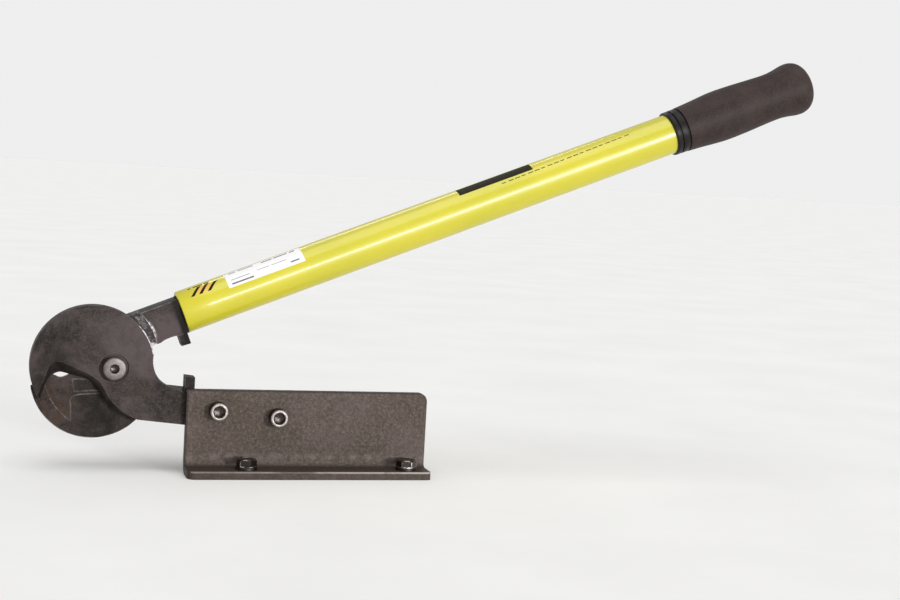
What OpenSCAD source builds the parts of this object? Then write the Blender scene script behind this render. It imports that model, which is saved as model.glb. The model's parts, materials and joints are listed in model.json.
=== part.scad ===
// Bench-mounted wire rope and cable cutter with one long handle.
// Origin: midway between the two bench bolts, on the underside of the bracket foot.
// X runs along the bracket towards the handle, Y points to the back, Z points up.
// The jaws are drawn at rest, with the handle part of the way down.

/* [Bracket] */
// Length of the angle bracket
bracket_l = 196; // [190:1:210]
// Height of the upright cheek above the bench
bracket_h = 67; // [64:1:72]
// Thickness of the bracket plate
bracket_t = 6.35; // [5:0.05:8]
// How far the foot reaches in front of the cheek
foot_reach = 25; // [24:0.5:32]
// Distance from the bench bolts to the face of the cheek
bolt_to_cheek = 13; // [12.6:0.1:14]
// Spacing of the two bench bolts
bench_pitch = 130; // [120:1:135]
// Distance from the left end of the bracket to the first bench bolt
bench_inset = 47.5; // [44:0.5:52]
// Length of bench bolt below the foot
bench_stub = 31.75; // [25:0.25:45]

/* [Jaws] */
// Radius of the round plate of the fixed jaw
fixed_jaw_r = 47.7; // [46.5:0.1:48.2]
// Radius of the round plate of the moving jaw
moving_jaw_r = 48.1; // [46.5:0.1:48.5]
// Thickness of each jaw plate
jaw_t = 12.7; // [11:0.1:13.5]
// Gap between the sliding faces of the two jaws
jaw_gap = 0.3; // [0.3:0.05:0.5]
// Pivot position along the bench
pivot_x = -169; // [-172:1:-166]
// Pivot height above the bench
pivot_z = 82; // [80:1:86]
// Radius of the round notch in the fixed arm
fixed_notch_r = 22.9; // [21:0.1:23.5]
// Radius of the shallower notch in the moving arm
moving_notch_r = 27; // [25:0.5:30]

/* [Handle] */
// Slope of the handle at rest, in degrees
handle_angle = 22.06; // [18:0.02:26]
// Height of the handle axis above the pivot, square to the handle
handle_rise = 21.05; // [20:0.05:21.5]
// Outside radius of the handle tube
tube_r = 17; // [16:0.05:18]
// Wall of the handle tube
tube_wall = 2.7; // [2.5:0.1:3.2]
// Distance from the pivot to the far end of the grip
handle_l = 640; // [600:1:700]

/* [Fasteners] */
// Shank radius of the 3/8 inch screws and bolts
screw_r = 4.76; // [4.7:0.01:4.8]
// Radius of the shoulder of the pivot bolt
pivot_r = 6.35; // [6.3:0.01:6.4]

/* [Hidden] */

$fn = 64;
eps = 0.01;
big = 100;

// Places along Y, from the bench bolts to the back of the head
cheek_y = bolt_to_cheek;
front_y = cheek_y + bracket_t;
shear_y = front_y + jaw_t;
rear_y = shear_y + jaw_gap;
back_y = rear_y + jaw_t;
handle_y = (front_y + back_y) / 2;

// Bracket ends and corner radii
bracket_x0 = -bench_pitch / 2 - bench_inset;
bracket_x1 = bracket_x0 + bracket_l;
bend_r = 4;
cheek_corner_left = 3;
cheek_corner_right = 7;
foot_corner_left = 6;
foot_corner_right = 4;

// Fixed lever, measured from the pivot: the arm slopes down behind the cheek
arm_slope = -5.5;
fixed_disc = [-16.25, 0.8];
fixed_arm_in = 11.3;
fixed_arm_in_end = 13;
fixed_arm_out = 38.4;
fixed_arm_end = 150;
fixed_arm_corner = 4;
fixed_arm_bend = 66;
fixed_neck = [50, 42, -30];
fixed_notch = [51.9, 11.7];
fixed_notch_flat = [30.2, 8, 25, 5];
fixed_step = [-9.4, -14.4];
fixed_step_r = 48.8;
screw_places = [[84, 23.4], [132.2, 23.4]];

// Moving lever, in the frame of the handle: u along it, w away from the other arm
moving_disc = [-17, -2.9];
moving_arm_in = 5.8;
moving_arm_out = 33.4;
moving_neck = [50, 30, -10];
moving_step = [-10.5, 12.5];
moving_step_r = 48.4;
moving_notch = [48.5, -19.9];
tang_l = 78;
tang_clearance = 0.05;
tang_r = tube_r - tube_wall - tang_clearance;
tube_start = 64.4;
pin_places = [86.4, 120.4];
pin_r = 3.17;
pin_hole_r = 3.2;
pin_depth = 6;
pin_proud = 0.2;
pin_chamfer = [0.77, 0.6];

// Stop tabs: the two stop faces are planes through the pivot
fixed_tab = [56.5, 64.2];
moving_tab = [55.4, 63];
tab_inset = 6.5;
fixed_stop_angle = -6.2;
moving_stop_angle = 18.5;
fixed_tab_root = -18;
moving_tab_root = 12;

// Milled scallop at the foot of the fixed tab: its place and its radius outside and inside
tab_scallop = [59.5, -10.5];
tab_scallop_r = [9.2, 5.8];
tab_scallop_floor = 0.4;

// Edges of the mouth in the fixed jaw, from the pivot, horn tip first:
// the outline on the front face and the cutting edge on the sliding face
fixed_mouth_face = [[-61, -35], [-58.4, -25], [-53.9, -12.8], [-49.6, -0.8], [-46.8, 3.3], [-42.6, 4.3],
    [-38.6, 3.5], [-32.4, 0.6], [-21.1, -3.9], [-12.5, -9.4], [-7.6, -15], [-3.6, -22.5],
    [2.2, -29.3], [9.2, -34.9], [18.8, -40], [30, -46]];
fixed_mouth_edge = [[-58, -37], [-54.7, -26.1], [-51.2, -14.8], [-48.2, -9.6], [-44.9, -6.8], [-40.6, -5.2],
    [-36, -6], [-30, -7.6], [-22, -9.4], [-16.4, -12.4], [-11.4, -18.2], [-7, -24.6],
    [-0.8, -31.2], [7.4, -36.9], [18.3, -41.6], [30, -47]];

// Edges of the mouth in the moving jaw, in the frame of the handle, tip first:
// the cutting edge on the sliding face and the outline on the back face
moving_mouth_edge = [[-73, 4.6], [-64.9, 7.3], [-57.5, 10.2], [-51.4, 12.8], [-47.3, 11.9], [-44.4, 9.7],
    [-40.7, 6.4], [-35.7, 5.9], [-27.1, 7.8], [-16.8, 11.7], [-10.7, 16.2], [-6.2, 22],
    [0.8, 29.9], [10.2, 35.8], [19.2, 41.8]];
moving_mouth_face = [[-75, -3], [-67, 0.5], [-58.6, 3.4], [-52.6, 4.8], [-48.6, 3.6], [-45, 0.6],
    [-40.4, -1.6], [-33.6, -0.6], [-23, 3.4], [-12.8, 9], [-7, 15], [-1.6, 22.4],
    [5.2, 28.8], [12.8, 33.8], [22.5, 38.8]];

// Square land behind each cutting edge
edge_land = 1.2;

// Relief in the face of the moving jaw: the ground sliding face stands proud of it.
// The outlines are measured from the pivot.
relief_depth = 1;
land_r = 54;
lap_relief = [20, 60];
lower_relief = [[-31, -60], [-30.8, -33], [-31.6, -28], [-29.6, -24.4], [-25, -23], [-7.4, -21.7],
    [26, -21.7], [26, -60]];
pocket_depth = 0.8;
pocket_outline = [[-30.6, -11], [-28.7, -20.6], [-10, -19.4], [-11.5, -15], [-19, -11]];

// Pivot hardware
spotface_r = 11.6;
spotface_depth = 1.5;
pivot_head_r = 9;
pivot_head_h = 8;
pivot_head_chamfer = 1;
pivot_socket_depth = 4.5;
pivot_washer_r = 12.7;
bushing_r = 8;
running = 0.05;
pivot_thread_r = 4.76;

// 3/8 inch screws, washers and nuts
head_r = 7.15;
head_h = 9.5;
head_chamfer = 0.9;
thread_chamfer = 0.8;
thread_spare = 2.5;
pivot_thread_spare = 1.6;
socket_af = 7.94;
socket_depth = 5.2;
pivot_socket_af = 6.35;
hex_af = 14.29;
hex_corner = hex_af * 0.6;
hex_face_r = hex_af * 0.485;
hex_chamfer = 1;
hex_head_h = 6.2;
hex_head_turn = 12;
bolt_body_r = 4.25;
nut_h = 8.3;
locknut_h = 11;
locknut_collar_r = 6.3;
locknut_collar_h = 2.4;
washer_r = 10.3;
washer_t = 1.65;
lock_washer_r = 8.65;
lock_washer_t = 2.3;
lock_washer_split = 1.2;
lock_washer_lean = 25;
clearance_r = 5;

// Grip: distance along the handle and radius, from the collar to the end
collar_start = 503;
grip_start = 515.5;
tube_end = 628;
collar_r = 18.9;
collar_chamfer = 0.8;
sleeve_gap = 0.03;
grip_profile = [[grip_start, 19.2], [530, 20.2], [545, 21.5], [556, 21.9], [572, 21.5],
    [588, 20.7], [604, 20.2], [613, 21], [620, 22.3], [625, 22.8], [629, 22.4], [633, 20.8],
    [636.3, 17.6], [638.5, 13], [handle_l - 0.4, 7], [handle_l, 0]];

// One point of a Catmull-Rom curve through p, between points i and i + 1
function curve_point(p, i, t) =
    let (n = len(p) - 1)
    let (a = p[max(i - 1, 0)], b = p[i], c = p[i + 1], d = p[min(i + 2, n)])
    0.5 * (2 * b + (c - a) * t + (2 * a - 5 * b + 4 * c - d) * t * t
        + (3 * b - a - 3 * c + d) * t * t * t);

// Smooth curve through p with n steps between points
function smooth(p, n = 4) =
    concat([for (i = [0:len(p) - 2]) for (k = [0:n - 1]) curve_point(p, i, k / n)],
        [p[len(p) - 1]]);

// A flat shape in X and Z, given thickness from y0 to y1
module plate(y0, y1) {
    translate([0, y1, 0]) rotate([90, 0, 0]) linear_extrude(y1 - y0) children();
}

// Waste of a mouth: a bevelled block from a level far above or below up to three curves.
// The curves run along X, have the same number of points and lie at the three places y.
module mouth_waste(curves, y, level) {
    n = len(curves[0]);
    points = [for (k = [0:2]) each concat([for (p = curves[k]) [p[0], y[k], p[1]]],
        [for (p = curves[k]) [p[0], y[k], level]])];
    last = 4 * n;
    caps = [for (i = [0:n - 2]) each [[i, i + 1, n + i + 1, n + i],
        [last + i, last + n + i, last + n + i + 1, last + i + 1]]];
    skins = [for (k = [0:1]) let (o = 2 * n * k) each concat(
        [for (i = [0:n - 2]) each [[o + i, o + 2 * n + i, o + i + 1],
            [o + i + 1, o + 2 * n + i, o + 2 * n + i + 1],
            [o + n + i, o + n + i + 1, o + 3 * n + i + 1, o + 3 * n + i]]],
        [[o, o + n, o + 3 * n, o + 2 * n], [o + n - 1, o + 3 * n - 1, o + 4 * n - 1, o + 2 * n - 1]])];
    faces = concat(caps, skins);
    polyhedron(points, level < 0 ? faces : [for (f = faces) [for (i = [len(f) - 1:-1:0]) f[i]]]);
}

module at_pivot() {
    translate([pivot_x, 0, pivot_z]) children();
}

// Moves a solid from the handle's own frame into place
module on_handle() {
    at_pivot() rotate([0, -handle_angle, 0]) children();
}

// Solid of revolution about the handle axis, drawn as radius against distance
module along_handle() {
    on_handle() translate([0, handle_y, handle_rise]) rotate([0, 90, 0])
        rotate_extrude($fn = 96) children();
}

// A round bar or hole along Y
module bar_y(r, y0, y1) {
    translate([0, y1, 0]) rotate([90, 0, 0]) cylinder(r = r, h = y1 - y0);
}

module hex_y(af, y0, y1) {
    translate([0, y1, 0]) rotate([90, 0, 0]) cylinder(d = af / cos(30), h = y1 - y0, $fn = 6);
}

// Place of fixed lever screw i, measured from the pivot
function screw_place(i) =
    let (u = screw_places[i][0], w = screw_places[i][1])
    [u * cos(arm_slope) + w * sin(arm_slope), 0, u * sin(arm_slope) - w * cos(arm_slope)];

function bench_x(i) = (i == 0 ? -1 : 1) * bench_pitch / 2;

// ---- bracket ----

module bracket_profile() {
    bottom_r = bend_r + bracket_t;
    difference() {
        union() {
            translate([cheek_y - foot_reach, 0]) square([foot_reach + bracket_t, bracket_t]);
            translate([cheek_y, 0]) square([bracket_t, bracket_h]);
            translate([cheek_y - bend_r, bracket_t]) square(bend_r);
        }
        translate([cheek_y - bend_r, bracket_t + bend_r]) circle(r = bend_r);
        difference() {
            translate([front_y - bottom_r, -eps]) square(bottom_r + eps);
            translate([front_y - bottom_r, bottom_r]) circle(r = bottom_r);
        }
    }
}

// Removes a square corner outside a radius, pointing to +X and +Y
module corner_waste(r) {
    difference() {
        translate([-eps, -eps]) square(r + 1);
        circle(r = r);
        translate([-1, -1]) square([1, 2 + r]);
    }
}

module mounting_bracket() {
    foot_y = cheek_y - foot_reach;
    color([0.33, 0.3, 0.27]) difference() {
        translate([bracket_x0, 0, 0]) rotate([90, 0, 90]) linear_extrude(bracket_l) bracket_profile();
        plate(cheek_y - 1, front_y + 1) {
            translate([bracket_x1 - cheek_corner_right, bracket_h - cheek_corner_right])
                corner_waste(cheek_corner_right);
            translate([bracket_x0 + cheek_corner_left, bracket_h - cheek_corner_left])
                mirror([1, 0]) corner_waste(cheek_corner_left);
        }
        translate([0, 0, -1]) linear_extrude(bracket_t + 2) {
            translate([bracket_x1 - foot_corner_right, foot_y + foot_corner_right])
                mirror([0, 1]) corner_waste(foot_corner_right);
            translate([bracket_x0 + foot_corner_left, foot_y + foot_corner_left])
                rotate(180) corner_waste(foot_corner_left);
        }
        for (i = [0:1]) {
            translate([bench_x(i), 0, -1]) cylinder(r = clearance_r, h = bracket_t + 2);
            at_pivot() translate(screw_place(i)) bar_y(clearance_r, cheek_y - 1, front_y + 1);
        }
    }
}

// ---- jaws ----

// Outline of the fixed lever, from the pivot
module fixed_arm() {
    c = fixed_arm_corner;
    rotate(arm_slope) polygon([[0, -fixed_arm_out], [fixed_arm_end - c, -fixed_arm_out],
        [fixed_arm_end, -fixed_arm_out + c], [fixed_arm_end, -fixed_arm_in_end - c],
        [fixed_arm_end - c, -fixed_arm_in_end], [fixed_arm_bend, -fixed_arm_in_end],
        [fixed_arm_bend, -fixed_arm_in], [0, -fixed_arm_in]]);
}

// Stop tab between two distances from the pivot; its stop face lies on a plane through the pivot
module tab(span, root, angle) {
    plate(front_y + tab_inset, back_y - tab_inset) polygon([[span[0], root], [span[1], root],
        [span[1], span[1] * tan(angle)], [span[0], span[0] * tan(angle)]]);
}

module fixed_notch_shape() {
    rotate(arm_slope) translate(fixed_notch) circle(r = fixed_notch_r);
}

module fixed_outline() {
    difference() {
        union() {
            translate(fixed_disc) circle(r = fixed_jaw_r, $fn = 128);
            fixed_arm();
            translate([0, fixed_neck[2]]) square([fixed_neck[0], fixed_neck[1]]);
        }
        fixed_notch_shape();
        translate([fixed_notch_flat[0], fixed_notch_flat[1]])
            square([fixed_notch_flat[2], fixed_notch_flat[3]]);
    }
}

module fixed_jaw_lever() {
    a = smooth(fixed_mouth_face);
    b = smooth(fixed_mouth_edge);
    color([0.25, 0.22, 0.2]) at_pivot() difference() {
        union() {
            plate(front_y, shear_y) fixed_outline();
            plate(front_y, back_y) difference() {
                fixed_arm();
                fixed_notch_shape();
                translate(fixed_step) circle(r = fixed_step_r, $fn = 128);
            }
            tab(fixed_tab, fixed_tab_root, fixed_stop_angle);
        }
        translate([tab_scallop[0], front_y - eps, tab_scallop[1]]) rotate([-90, 0, 0])
            cylinder(r1 = tab_scallop_r[0], r2 = tab_scallop_r[1], h = tab_inset - tab_scallop_floor);
        mouth_waste([a, b, b], [front_y - eps, shear_y - edge_land, back_y + 1], -big);
        bar_y(spotface_r, front_y - 1, front_y + spotface_depth);
        bar_y(pivot_r + running, front_y - 1, shear_y + 1);
        for (i = [0:1]) translate(screw_place(i)) bar_y(clearance_r, front_y - 1, back_y + 1);
    }
}

// Outline of the moving lever, in the frame of the handle
module moving_arm() {
    translate([0, moving_arm_in]) square([tube_start, moving_arm_out - moving_arm_in]);
}

module moving_notch_shape() {
    translate(moving_notch) circle(r = moving_notch_r);
}

module moving_outline() {
    difference() {
        union() {
            translate(moving_disc) circle(r = moving_jaw_r, $fn = 128);
            moving_arm();
            translate([0, moving_neck[2]]) square([moving_neck[0], moving_neck[1]]);
        }
        moving_notch_shape();
    }
}

// Lower part of the moving jaw's face that was never ground, from the pivot
module forged_zone() {
    difference() {
        translate([-big, -big]) square(2 * big);
        intersection() {
            circle(r = land_r, $fn = 128);
            translate([-big, -big]) square([big, 2 * big]);
        }
        rotate(handle_angle) translate([lap_relief[0], 0]) square(lap_relief[1]);
    }
    polygon(lower_relief);
}

module moving_jaw_lever() {
    a = smooth(moving_mouth_edge);
    b = smooth(moving_mouth_face);
    color([0.25, 0.22, 0.2]) {
        on_handle() difference() {
            union() {
                plate(rear_y, back_y) moving_outline();
                plate(front_y, back_y) difference() {
                    moving_arm();
                    moving_notch_shape();
                    translate(moving_step) circle(r = moving_step_r, $fn = 128);
                }
                tab(moving_tab, moving_tab_root, moving_stop_angle - handle_angle);
                translate([tube_start - 1, handle_y, handle_rise]) rotate([0, 90, 0])
                    cylinder(r = tang_r, h = tang_l + 1);
            }
            mouth_waste([a, a, b], [front_y - 1, rear_y + edge_land, back_y + eps], big);
            bar_y(bushing_r, rear_y - 1, back_y + 1);
            rotate([0, handle_angle, 0]) {
                plate(rear_y - eps, rear_y + relief_depth) intersection() {
                    forged_zone();
                    rotate(handle_angle) translate(moving_disc) circle(r = moving_jaw_r + 1);
                }
                plate(rear_y - eps, rear_y + pocket_depth) polygon(pocket_outline);
            }
            for (i = [0:1]) pin_hole(i);
        }
    }
}

// ---- pivot ----

module pivot_bolt() {
    head_y = front_y + spotface_depth - pivot_head_h;
    shoulder_l = back_y + jaw_gap - head_y;
    end = shoulder_l + washer_t + locknut_h + pivot_thread_spare;
    color([0.6, 0.58, 0.55]) at_pivot() difference() {
        translate([0, head_y, 0]) rotate([-90, 0, 0]) rotate_extrude() polygon([[0, 0],
            [pivot_head_r - pivot_head_chamfer, 0], [pivot_head_r, pivot_head_chamfer],
            [pivot_head_r, pivot_head_h], [pivot_r, pivot_head_h], [pivot_r, shoulder_l],
            [pivot_thread_r, shoulder_l], [pivot_thread_r, end - thread_chamfer],
            [pivot_thread_r - thread_chamfer, end], [0, end]]);
        hex_y(pivot_socket_af, head_y - 1, head_y + pivot_socket_depth);
    }
}

module pivot_bushing() {
    color([0.72, 0.55, 0.3]) at_pivot() difference() {
        bar_y(bushing_r, rear_y, back_y);
        bar_y(pivot_r + running, rear_y - 1, back_y + 1);
    }
}

module ring_y(r_out, r_in, y0, y1) {
    difference() {
        bar_y(r_out, y0, y1);
        bar_y(r_in, y0 - 1, y1 + 1);
    }
}

module pivot_washer() {
    y0 = back_y + jaw_gap;
    color([0.55, 0.54, 0.52]) at_pivot() ring_y(pivot_washer_r, pivot_thread_r, y0, y0 + washer_t);
}

// Hexagon nut with a chamfered outside corner
module nut_y(y0, h, collar = 0) {
    difference() {
        union() {
            intersection() {
                hex_y(hex_af, y0, y0 + h);
                translate([0, y0, 0]) rotate([-90, 0, 0]) rotate_extrude() polygon([[0, 0],
                    [hex_face_r, 0], [hex_corner, hex_chamfer], [hex_corner, h - hex_chamfer],
                    [hex_face_r, h], [0, h]]);
            }
            bar_y(locknut_collar_r, y0 + h - eps, y0 + h + collar + eps);
        }
        bar_y(screw_r, y0 - 1, y0 + h + collar + 1);
    }
}

module pivot_locknut() {
    y0 = back_y + jaw_gap + washer_t;
    color([0.6, 0.58, 0.55]) at_pivot() nut_y(y0, locknut_h - locknut_collar_h, locknut_collar_h);
}

// ---- screws that hold the fixed lever behind the cheek ----

lever_washer_y = back_y;
lever_lock_y = lever_washer_y + washer_t;
lever_nut_y = lever_lock_y + lock_washer_t;
lever_screw_end = lever_nut_y + nut_h + thread_spare;

module lever_screw(i) {
    l = lever_screw_end - cheek_y;
    color([0.45, 0.42, 0.38]) at_pivot() translate(screw_place(i)) difference() {
        translate([0, cheek_y - head_h, 0]) rotate([-90, 0, 0]) rotate_extrude() polygon([[0, 0],
            [head_r - head_chamfer, 0], [head_r, head_chamfer], [head_r, head_h], [screw_r, head_h],
            [screw_r, head_h + l - thread_chamfer], [screw_r - thread_chamfer, head_h + l],
            [0, head_h + l]]);
        hex_y(socket_af, cheek_y - head_h - 1, cheek_y - head_h + socket_depth);
    }
}

module lever_washer(i) {
    color([0.55, 0.54, 0.52]) at_pivot() translate(screw_place(i))
        ring_y(washer_r, screw_r, lever_washer_y, lever_washer_y + washer_t);
}

// Spring washer: a ring with a slanted split
module split_ring(r_out, r_in, h) {
    difference() {
        cylinder(r = r_out, h = h);
        translate([0, 0, -1]) cylinder(r = r_in, h = h + 2);
        translate([r_in - 1, 0, h / 2]) rotate([lock_washer_lean, 0, 0])
            translate([0, -lock_washer_split / 2, -h * 2]) cube([r_out, lock_washer_split, h * 4]);
    }
}

module lever_lock_washer(i) {
    color([0.5, 0.48, 0.46]) at_pivot() translate(screw_place(i)) translate([0, lever_nut_y, 0])
        rotate([90, 0, 0]) split_ring(lock_washer_r, screw_r, lock_washer_t);
}

module lever_nut(i) {
    color([0.5, 0.48, 0.46]) at_pivot() translate(screw_place(i)) nut_y(lever_nut_y, nut_h);
}

// ---- bench bolts ----

module bench_washer(i) {
    color([0.4, 0.38, 0.36]) translate([bench_x(i), 0, bracket_t])
        split_ring(lock_washer_r, screw_r, lock_washer_t);
}

// The thread is the full radius and starts at the foot's underside; the body above it is thinner
module bench_bolt(i) {
    z0 = bracket_t + lock_washer_t;
    color([0.3, 0.28, 0.26]) translate([bench_x(i), 0, 0]) {
        translate([0, 0, z0]) intersection() {
            rotate(hex_head_turn) cylinder(d = hex_af / cos(30), h = hex_head_h, $fn = 6);
            rotate_extrude() polygon([[0, 0], [hex_corner, 0], [hex_corner, hex_head_h - hex_chamfer],
                [hex_face_r, hex_head_h], [0, hex_head_h]]);
        }
        translate([0, 0, -eps]) cylinder(r = bolt_body_r, h = z0 + 2 * eps);
        translate([0, 0, -bench_stub]) cylinder(r = screw_r, h = bench_stub);
    }
}

// ---- handle ----

module handle_tube() {
    color([0.88, 0.85, 0.12]) difference() {
        along_handle() translate([tube_r - tube_wall, tube_start])
            square([tube_wall, tube_end - tube_start]);
        on_handle() for (i = [0:1]) pin_hole(i);
    }
}

// Blind hole for tang pin i, from the back of the tube, in the frame of the handle
module pin_hole(i) {
    translate([pin_places[i], 0, handle_rise])
        bar_y(pin_hole_r, handle_y - pin_depth, handle_y + tube_r + 5);
}

module tang_pin(i) {
    l = pin_depth + tube_r + pin_proud;
    color([0.6, 0.58, 0.55]) on_handle() translate([pin_places[i], handle_y - pin_depth, handle_rise])
        rotate([-90, 0, 0]) rotate_extrude() polygon([[0, 0], [pin_r, 0],
            [pin_r, l - pin_chamfer[1]], [pin_r - pin_chamfer[0], l], [0, l]]);
}

module grip_collar() {
    r = tube_r + sleeve_gap;
    color([0.08, 0.08, 0.08]) along_handle() polygon([[r, collar_start],
        [collar_r - collar_chamfer, collar_start], [collar_r, collar_start + collar_chamfer],
        [collar_r, grip_start], [r, grip_start]]);
}

module handle_grip() {
    r = tube_r + sleeve_gap;
    color([0.25, 0.22, 0.21]) along_handle() polygon(concat(
        [[0, tube_end + sleeve_gap], [r, tube_end + sleeve_gap], [r, grip_start]],
        [for (p = smooth(grip_profile, 3)) [max(p[1], 0), p[0]]]));
}

mounting_bracket();
fixed_jaw_lever();
moving_jaw_lever();
pivot_bolt();
pivot_bushing();
pivot_washer();
pivot_locknut();
for (i = [0:1]) {
    lever_screw(i);
    lever_washer(i);
    lever_lock_washer(i);
    lever_nut(i);
    bench_bolt(i);
    bench_washer(i);
    tang_pin(i);
}
handle_tube();
grip_collar();
handle_grip();
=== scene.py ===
import json
import math

import bmesh
import bpy
from mathutils import Matrix, Vector


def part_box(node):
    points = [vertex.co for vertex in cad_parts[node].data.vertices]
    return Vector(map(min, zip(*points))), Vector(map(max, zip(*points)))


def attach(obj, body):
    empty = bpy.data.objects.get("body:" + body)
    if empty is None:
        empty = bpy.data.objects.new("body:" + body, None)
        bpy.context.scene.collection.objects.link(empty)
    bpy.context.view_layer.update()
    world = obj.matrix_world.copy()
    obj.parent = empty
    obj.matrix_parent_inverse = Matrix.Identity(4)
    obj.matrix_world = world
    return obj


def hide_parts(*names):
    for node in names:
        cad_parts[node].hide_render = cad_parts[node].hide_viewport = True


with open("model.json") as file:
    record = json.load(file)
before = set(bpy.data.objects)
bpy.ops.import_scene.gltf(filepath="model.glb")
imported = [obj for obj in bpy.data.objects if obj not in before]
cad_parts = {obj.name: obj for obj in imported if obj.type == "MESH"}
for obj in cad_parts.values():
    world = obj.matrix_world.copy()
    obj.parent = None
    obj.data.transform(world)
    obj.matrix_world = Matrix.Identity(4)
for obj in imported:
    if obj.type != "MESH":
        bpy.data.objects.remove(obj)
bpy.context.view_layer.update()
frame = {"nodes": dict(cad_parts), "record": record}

# Looks of the bench-mounted cable cutter. Metres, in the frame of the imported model:
# +X along the bracket towards the grip, +Y to the back, +Z up.

record = frame["record"]
BODY_OF = {node: body for body, nodes in record["behaviour"]["bodies"].items() for node in nodes}
SLOT_OF = {part["node"]: part["material_slot"] for part in record["subparts"]}
MM = 0.001

# The handle's own frame: ALONG runs up the tube, ACROSS is square to it, and the front is -Y
hinge = record["behaviour"]["joints"][0]
PIVOT = Vector(hinge["pos_m"])
HANDLE_SLOPE = math.radians(22.06)
HANDLE_RISE = 21.05 * MM
tube_low, tube_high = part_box("handle_tube")
TUBE_RADIUS = (tube_high.y - tube_low.y) / 2
TUBE_Y = (tube_high.y + tube_low.y) / 2
ALONG = Vector((math.cos(HANDLE_SLOPE), 0, math.sin(HANDLE_SLOPE)))
ACROSS = Vector((-math.sin(HANDLE_SLOPE), 0, math.cos(HANDLE_SLOPE)))
HANDLE_AXIS_START = Vector((PIVOT.x, TUBE_Y, PIVOT.z)) + HANDLE_RISE * ACROSS
TO_BACK = Vector((0, 1, 0))
UP = (0, 0, 1)
bracket_low, bracket_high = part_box("mounting_bracket")


# ---- materials ----

EDGE_SAMPLES = 6
EDGE_BEND = (0.02, 0.22)  # 1 - cosine of the turn of the normal where an edge starts and is full


class Graph:
    """Short names for the shader nodes that the materials share."""

    def __init__(self, name):
        self.material = bpy.data.materials.new(name)
        self.material.use_nodes = True
        self.tree = self.material.node_tree
        self.shader = self.tree.nodes["Principled BSDF"]
        self.place = self.add("ShaderNodeTexCoord").outputs["Object"]

    def add(self, kind, **settings):
        node = self.tree.nodes.new(kind)
        for key, value in settings.items():
            setattr(node, key, value)
        return node

    def join(self, source, target):
        if hasattr(source, "is_linked"):
            self.tree.links.new(source, target)
        else:
            target.default_value = source

    def set(self, **values):
        for key, value in values.items():
            self.shader.inputs[key.replace("_", " ")].default_value = value

    def drive(self, socket, source):
        self.join(source, self.shader.inputs[socket])

    def stretched(self, scale, turn=(0, 0, 0), place=None):
        mapping = self.add("ShaderNodeMapping")
        self.join(place or self.place, mapping.inputs["Vector"])
        mapping.inputs["Rotation"].default_value = turn
        mapping.inputs["Scale"].default_value = scale
        return mapping.outputs["Vector"]

    def noise(self, scale, detail=4, rough=0.5, place=None, warp=0):
        node = self.add("ShaderNodeTexNoise")
        self.join(place or self.place, node.inputs["Vector"])
        node.inputs["Scale"].default_value = scale
        node.inputs["Detail"].default_value = detail
        node.inputs["Roughness"].default_value = rough
        node.inputs["Distortion"].default_value = warp
        return node.outputs["Fac"]

    def cells(self, scale):
        node = self.add("ShaderNodeTexVoronoi")
        self.join(self.place, node.inputs["Vector"])
        node.inputs["Scale"].default_value = scale
        return node.outputs["Distance"]

    def ramp(self, value, low, high, start=0, end=1, smooth=False):
        node = self.add("ShaderNodeMapRange", clamp=True)
        if smooth:
            node.interpolation_type = "SMOOTHSTEP"
        for socket, source in zip(("Value", "From Min", "From Max", "To Min", "To Max"),
                                  (value, low, high, start, end)):
            self.join(source, node.inputs[socket])
        return node.outputs["Result"]

    def math(self, operation, a, b=0.0):
        node = self.add("ShaderNodeMath", operation=operation)
        self.join(a, node.inputs[0])
        self.join(b, node.inputs[1])
        return node.outputs[0]

    def mix(self, share, a, b):
        node = self.add("ShaderNodeMix", data_type="RGBA")
        self.join(share, node.inputs["Factor"])
        for source, socket in ((a, node.inputs[6]), (b, node.inputs[7])):
            self.join((*source, 1) if isinstance(source, tuple) else source, socket)
        return node.outputs[2]

    def distance(self, point):
        """How far the surface is from a point of the resting model, in metres."""
        node = self.add("ShaderNodeVectorMath", operation="DISTANCE")
        self.join(self.place, node.inputs[0])
        node.inputs[1].default_value = point
        return node.outputs["Value"]

    def facing_up(self, low=0.5, high=0.85):
        """1 where the surface of the resting model faces up, 0 on its sides."""
        parts = self.add("ShaderNodeSeparateXYZ")
        self.join(self.add("ShaderNodeTexCoord").outputs["Normal"], parts.inputs[0])
        return self.ramp(parts.outputs["Z"], low, high)

    def along(self, direction, start, end):
        """0 to 1 between two places of the resting model along a direction."""
        dot = self.add("ShaderNodeVectorMath", operation="DOT_PRODUCT")
        self.join(self.place, dot.inputs[0])
        dot.inputs[1].default_value = direction
        return self.ramp(dot.outputs["Value"], start, end)

    def edges(self, radius):
        """1 on outside and inside corners, 0 on flat stretches."""
        bevel = self.add("ShaderNodeBevel", samples=EDGE_SAMPLES)
        bevel.inputs["Radius"].default_value = radius
        geometry = self.add("ShaderNodeNewGeometry")
        dot = self.add("ShaderNodeVectorMath", operation="DOT_PRODUCT")
        self.join(bevel.outputs["Normal"], dot.inputs[0])
        self.join(geometry.outputs["Normal"], dot.inputs[1])
        return self.ramp(self.math("SUBTRACT", 1.0, dot.outputs["Value"]), *EDGE_BEND)

    def bump(self, height, depth, strength=1.0, below=None):
        node = self.add("ShaderNodeBump")
        node.inputs["Strength"].default_value = strength
        node.inputs["Distance"].default_value = depth
        self.join(height, node.inputs["Height"])
        if below is not None:
            self.join(below, node.inputs["Normal"])
        return node.outputs["Normal"]


# Painted light: the paler band and the bright flakes stand in for light on the lap floor and on lit
# edges; some flakes are bare steel.
FLAKE_BAND_PAINTED_LIGHT = (0.27, 0.235, 0.24)
FLAKE_BARE_AND_HIGHLIGHT = (0.66, 0.62, 0.63)


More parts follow.
